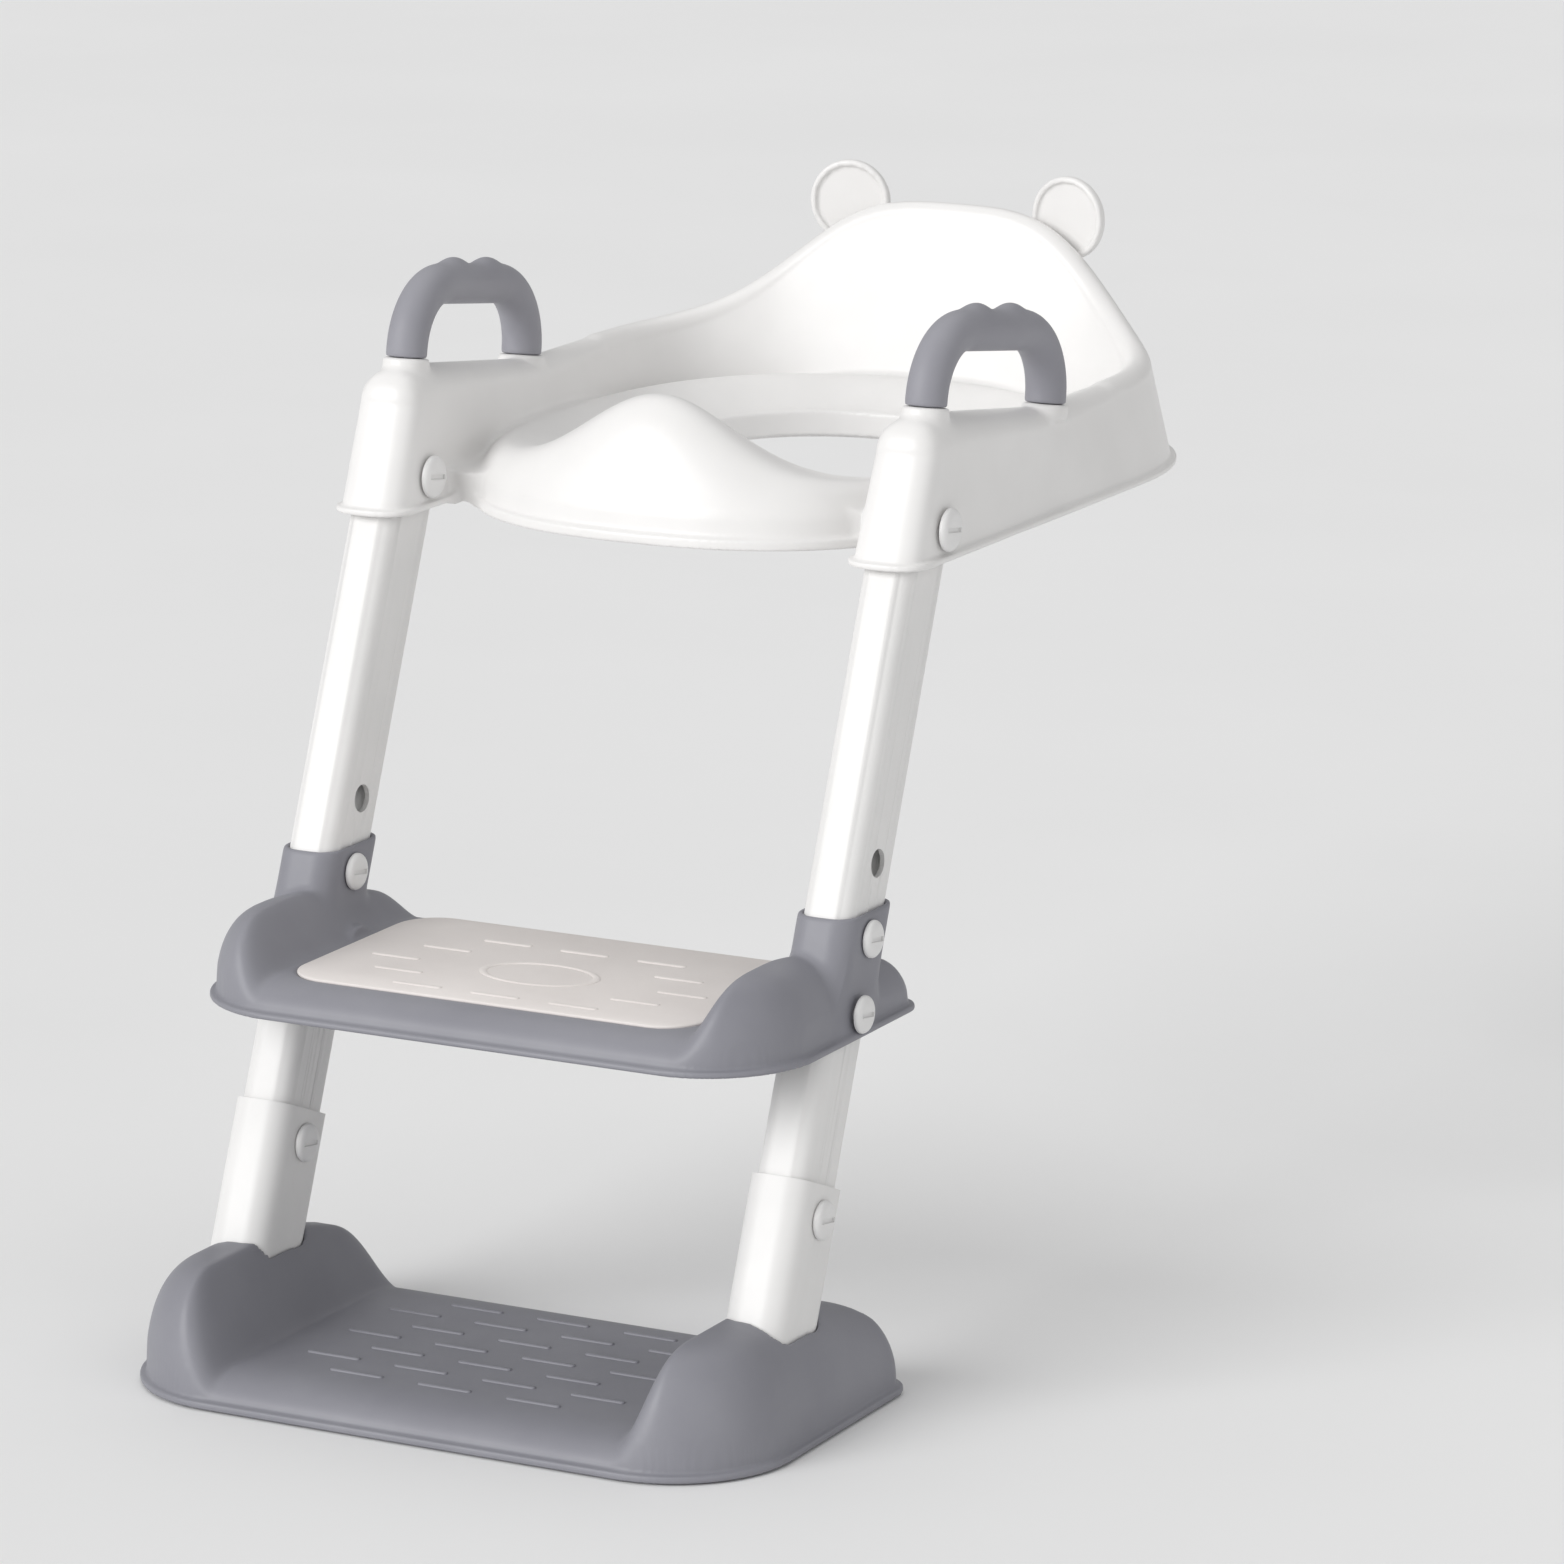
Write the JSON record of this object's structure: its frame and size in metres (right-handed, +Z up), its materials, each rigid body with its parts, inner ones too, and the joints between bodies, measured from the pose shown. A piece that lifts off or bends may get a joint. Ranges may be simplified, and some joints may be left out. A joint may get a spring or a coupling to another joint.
{
  "type": "potty training chair",
  "caption": "Child's toilet seat with backrest, splash guard and side handles, carried by a folding step ladder with telescoping legs.",
  "frame": {"origin": "centre of the object's box in plan, on the floor under the bottom step", "axes": "+Z up; +Y from the child's way in towards the back of the toilet; +X to the right of someone facing the chair"},
  "size_m": [0.3756, 0.645, 0.5695],
  "materials": {
    "white_plastic": "smooth injection-moulded polypropylene, soft gloss",
    "rail_plastic": "smooth extruded plastic, soft gloss",
    "grey_plastic": "fine-grained moulded plastic, satin",
    "grip_rubber": "soft-touch rubberised grip, matt",
    "pad_soft": "soft non-slip mat with raised dashes, matt",
    "bolt_plastic": "white moulded coin-slot bolts and cap nuts",
    "foot_rubber": "dark rubber",
    "screw_steel": "zinc-plated steel"
  },
  "bodies": {
    "base": {"base_step": "grey_plastic", "left_front_foot": "foot_rubber", "left_back_foot": "foot_rubber", "left_leg_sleeve": "rail_plastic", "left_sleeve_bolt": "bolt_plastic", "left_sleeve_nut": "bolt_plastic", "right_front_foot": "foot_rubber", "right_back_foot": "foot_rubber", "right_leg_sleeve": "rail_plastic", "right_sleeve_bolt": "bolt_plastic", "right_sleeve_nut": "bolt_plastic"},
    "ladder": {"left_rail": "rail_plastic", "left_pivot_bolt": "bolt_plastic", "left_pivot_nut": "bolt_plastic", "right_rail": "rail_plastic", "right_pivot_bolt": "bolt_plastic", "right_pivot_nut": "bolt_plastic"},
    "step": {"mid_step": "grey_plastic", "step_pad": "pad_soft", "left_step_upper_bolt": "bolt_plastic", "left_step_upper_nut": "bolt_plastic", "left_step_lower_bolt": "bolt_plastic", "right_step_upper_bolt": "bolt_plastic", "right_step_upper_nut": "bolt_plastic", "right_step_lower_bolt": "bolt_plastic"},
    "seat": {"seat_shell": "white_plastic", "left_handle_grip": "grip_rubber", "left_handle_front_screw": "screw_steel", "left_handle_back_screw": "screw_steel", "right_handle_grip": "grip_rubber", "right_handle_front_screw": "screw_steel", "right_handle_back_screw": "screw_steel"}
  },
  "joints": [
    {"name": "leg_height", "type": "slide", "parent": "base", "child": "ladder", "axis": [0, 0.373, 0.9278], "range_m": [0, 0.039]},
    {"name": "step_height", "type": "slide", "parent": "ladder", "child": "step", "axis": [0, 0.373, 0.9278], "range_m": [0, 0.039]},
    {"name": "seat_fold", "type": "hinge", "parent": "ladder", "child": "seat", "pos_m": [0, -0.05736, 0.44388], "axis": [-1, 0, 0], "range_deg": [0, 80]}
  ]
}
